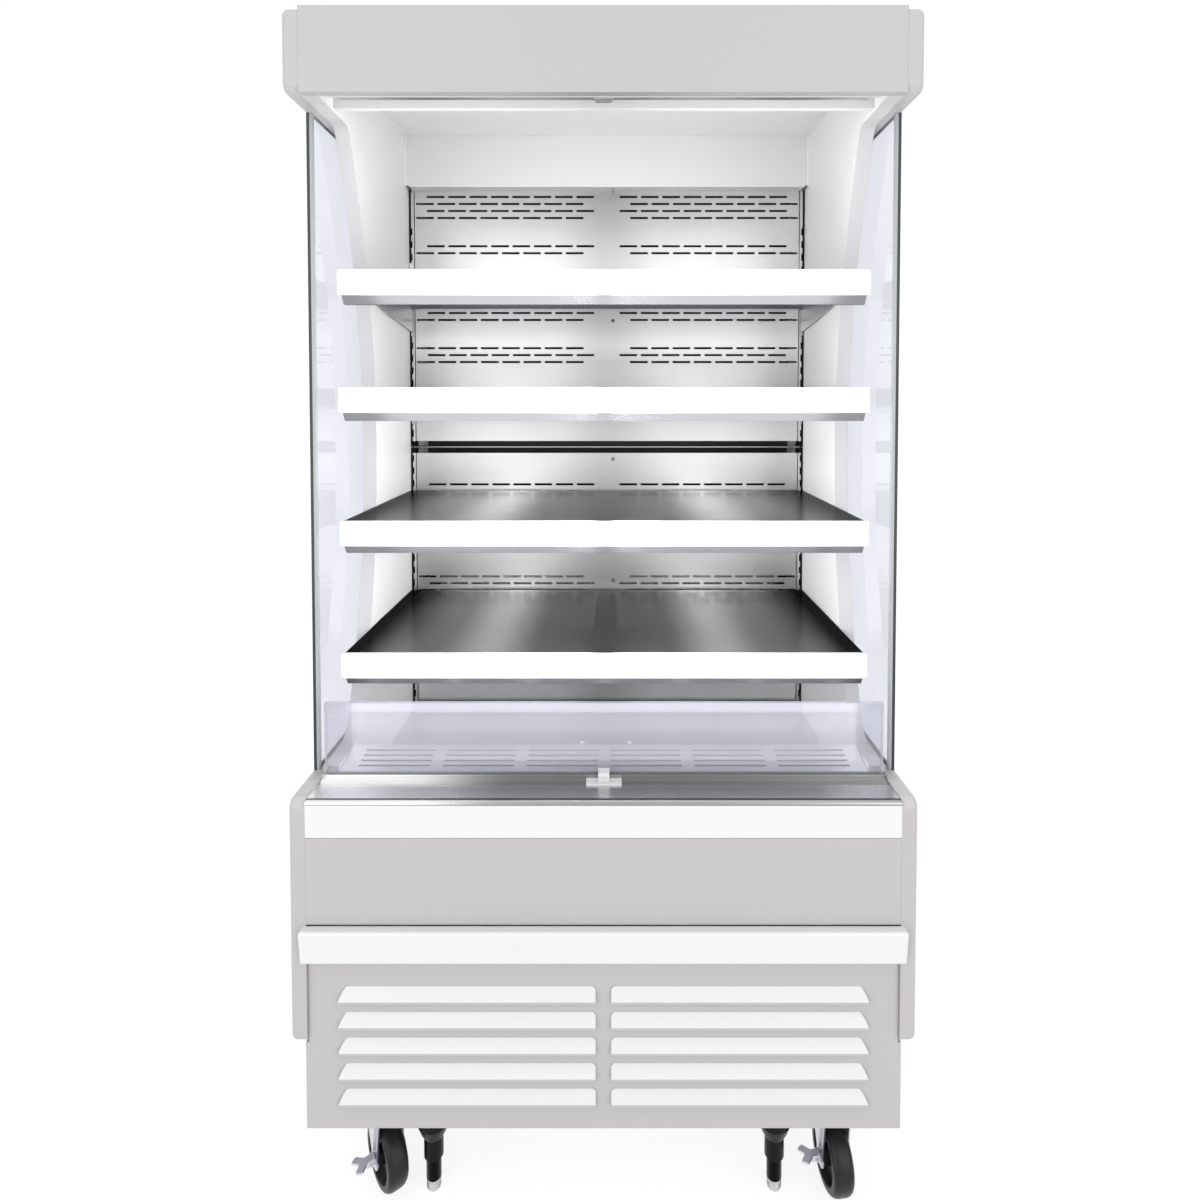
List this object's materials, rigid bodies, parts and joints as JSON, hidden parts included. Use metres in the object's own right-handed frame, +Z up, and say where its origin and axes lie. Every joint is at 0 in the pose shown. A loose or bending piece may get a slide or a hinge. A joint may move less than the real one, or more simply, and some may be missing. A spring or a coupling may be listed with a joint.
{
  "type": "open multideck display fridge",
  "caption": "Open-front display fridge: insulated cabinet with glass sides, steel shelves, slotted back, riser glass, pull-down night curtain, louvred base, swivel casters and levelling feet",
  "frame": {"origin": "centre of the footprint's bounding box, on the floor under the wheels", "axes": "+X right seen from the front, +Y to the rear, +Z up; the open front faces -Y"},
  "size_m": [0.921, 0.7184, 1.781],
  "materials": {
    "body_paint": "light grey satin powder coat on folded sheet",
    "foamed_body": "foam-filled walls and caps with a light grey coated skin",
    "white_trim": "smooth white extrusion",
    "white_band": "white coated sheet",
    "stainless": "brushed stainless sheet",
    "black_trim": "black glazing channel",
    "clear_glass": "clear tempered glass",
    "zinc": "pale zinc plating",
    "wheel_rubber": "charcoal non-marking rubber",
    "leg_black": "black coated steel",
    "foot_steel": "plated steel tip below a black sleeve",
    "coil": "aluminium fins",
    "fan_black": "moulded black blades",
    "shroud": "galvanised and black coated sheet",
    "compressor_black": "black enamel",
    "pan_plastic": "moulded tray",
    "box_grey": "moulded housing",
    "curtain_fabric": "light woven reflective fabric",
    "curtain_alu": "satin anodised"
  },
  "bodies": {
    "cabinet": {"insulated_shell": "foamed_body", "side_walls": "foamed_body", "side_glass": "clear_glass", "glass_trims": "black_trim", "header_caps": "foamed_body", "base_caps": "foamed_body", "header_fascia": "body_paint", "soffit": "body_paint", "discharge_grille": "white_trim", "top_cover": "body_paint", "back_panel_upper": "stainless", "back_panel_lower": "stainless", "shelf_uprights": "stainless", "shelf_tray_1": "stainless", "shelf_tray_2": "stainless", "shelf_tray_3": "stainless", "shelf_tray_4": "stainless", "shelf_rails": "white_trim", "shelf_brackets": "stainless", "deck_tray": "stainless", "return_grille": "stainless", "front_ledge": "stainless", "front_band": "white_band", "front_panel": "body_paint", "bumper_strip": "white_trim", "riser_glass": "clear_glass", "curtain_catch": "white_trim", "louvre_panel": "body_paint", "base_frame": "body_paint", "rear_grille": "body_paint", "condenser_coil": "coil", "condenser_shroud": "shroud", "evaporator_fan_plate": "shroud", "evaporator_coil": "coil", "compressor": "compressor_black", "drain_pan": "pan_plastic", "control_box": "box_grey", "curtain_cassette": "curtain_alu", "curtain_sheet": "curtain_fabric", "caster_plates": "zinc", "leg_sockets": "leg_black"},
    "caster_front_left": {"caster_fork_front_left": "zinc"},
    "wheel_front_left": {"caster_wheel_front_left": "wheel_rubber"},
    "leveller_front_left": {"foot_front_left": "foot_steel"},
    "caster_front_right": {"caster_fork_front_right": "zinc"},
    "wheel_front_right": {"caster_wheel_front_right": "wheel_rubber"},
    "leveller_front_right": {"foot_front_right": "foot_steel"},
    "caster_rear_left": {"caster_fork_rear_left": "zinc"},
    "wheel_rear_left": {"caster_wheel_rear_left": "wheel_rubber"},
    "leveller_rear_left": {"foot_rear_left": "foot_steel"},
    "caster_rear_right": {"caster_fork_rear_right": "zinc"},
    "wheel_rear_right": {"caster_wheel_rear_right": "wheel_rubber"},
    "leveller_rear_right": {"foot_rear_right": "foot_steel"},
    "brake_front_left": {"brake_lever_front_left": "zinc"},
    "brake_front_right": {"brake_lever_front_right": "zinc"},
    "condenser_rotor": {"condenser_fan": "fan_black"},
    "evaporator_rotor_left": {"evaporator_fan_left": "fan_black"},
    "evaporator_rotor_right": {"evaporator_fan_right": "fan_black"},
    "curtain_roll": {"curtain_roller": "curtain_fabric"},
    "curtain_pull_bar": {"curtain_bar": "curtain_alu"}
  },
  "joints": [
    {"name": "swivel_front_left", "type": "hinge", "parent": "cabinet", "child": "caster_front_left", "pos_m": [-0.352, -0.2655, 0.128], "axis": [0, 0, 1], "continuous": true},
    {"name": "roll_front_left", "type": "hinge", "parent": "caster_front_left", "child": "wheel_front_left", "pos_m": [-0.33722, -0.28441, 0.05], "axis": [0.788, 0.6157, 0], "continuous": true},
    {"name": "brake_front_left", "type": "hinge", "parent": "caster_front_left", "child": "brake_front_left", "pos_m": [-0.33722, -0.28441, 0.05], "axis": [0.788, 0.6157, 0], "range_deg": [0, 20]},
    {"name": "swivel_front_right", "type": "hinge", "parent": "cabinet", "child": "caster_front_right", "pos_m": [0.352, -0.2655, 0.128], "axis": [0, 0, 1], "continuous": true},
    {"name": "roll_front_right", "type": "hinge", "parent": "caster_front_right", "child": "wheel_front_right", "pos_m": [0.35492, -0.28932, 0.05], "axis": [0.9925, 0.1219, 0], "continuous": true},
    {"name": "brake_front_right", "type": "hinge", "parent": "caster_front_right", "child": "brake_front_right", "pos_m": [0.35492, -0.28932, 0.05], "axis": [0.9925, 0.1219, 0], "range_deg": [0, 20]},
    {"name": "swivel_rear_left", "type": "hinge", "parent": "cabinet", "child": "caster_rear_left", "pos_m": [-0.352, 0.2885, 0.128], "axis": [0, 0, 1], "continuous": true},
    {"name": "roll_rear_left", "type": "hinge", "parent": "caster_rear_left", "child": "wheel_rear_left", "pos_m": [-0.36021, 0.26595, 0.05], "axis": [0.9397, -0.342, 0], "continuous": true},
    {"name": "swivel_rear_right", "type": "hinge", "parent": "cabinet", "child": "caster_rear_right", "pos_m": [0.352, 0.2885, 0.128], "axis": [0, 0, 1], "continuous": true},
    {"name": "roll_rear_right", "type": "hinge", "parent": "caster_rear_right", "child": "wheel_rear_right", "pos_m": [0.36214, 0.26675, 0.05], "axis": [0.9063, 0.4226, 0], "continuous": true},
    {"name": "level_front_left", "type": "slide", "parent": "cabinet", "child": "leveller_front_left", "axis": [0, 0, 1], "range_m": [-0.015, 0.01]},
    {"name": "level_front_right", "type": "slide", "parent": "cabinet", "child": "leveller_front_right", "axis": [0, 0, 1], "range_m": [-0.015, 0.01]},
    {"name": "level_rear_left", "type": "slide", "parent": "cabinet", "child": "leveller_rear_left", "axis": [0, 0, 1], "range_m": [-0.015, 0.01]},
    {"name": "level_rear_right", "type": "slide", "parent": "cabinet", "child": "leveller_rear_right", "axis": [0, 0, 1], "range_m": [-0.015, 0.01]},
    {"name": "condenser_fan_spin", "type": "hinge", "parent": "cabinet", "child": "condenser_rotor", "pos_m": [-0.225, -0.2445, 0.26375], "axis": [0, 1, 0], "continuous": true},
    {"name": "evaporator_fan_spin_left", "type": "hinge", "parent": "cabinet", "child": "evaporator_rotor_left", "pos_m": [-0.18, 0.24225, 0.557], "axis": [0, 0, 1], "continuous": true},
    {"name": "evaporator_fan_spin_right", "type": "hinge", "parent": "cabinet", "child": "evaporator_rotor_right", "pos_m": [0.18, 0.24225, 0.557], "axis": [0, 0, 1], "continuous": true},
    {"name": "curtain_pull", "type": "slide", "parent": "cabinet", "child": "curtain_pull_bar", "axis": [0, 0, -1], "range_m": [0, 1.004], "stiffness_N_per_m": 8, "springref_m": -2, "deforming": ["curtain_sheet"]},
    {"name": "curtain_roll_turn", "type": "hinge", "parent": "cabinet", "child": "curtain_roll", "pos_m": [0, -0.2749, 1.73], "axis": [1, 0, 0], "continuous": true}
  ],
  "couplings": [
    {"joint": "curtain_roll_turn", "follows": "curtain_pull", "rad_per_m": 55.556}
  ]
}
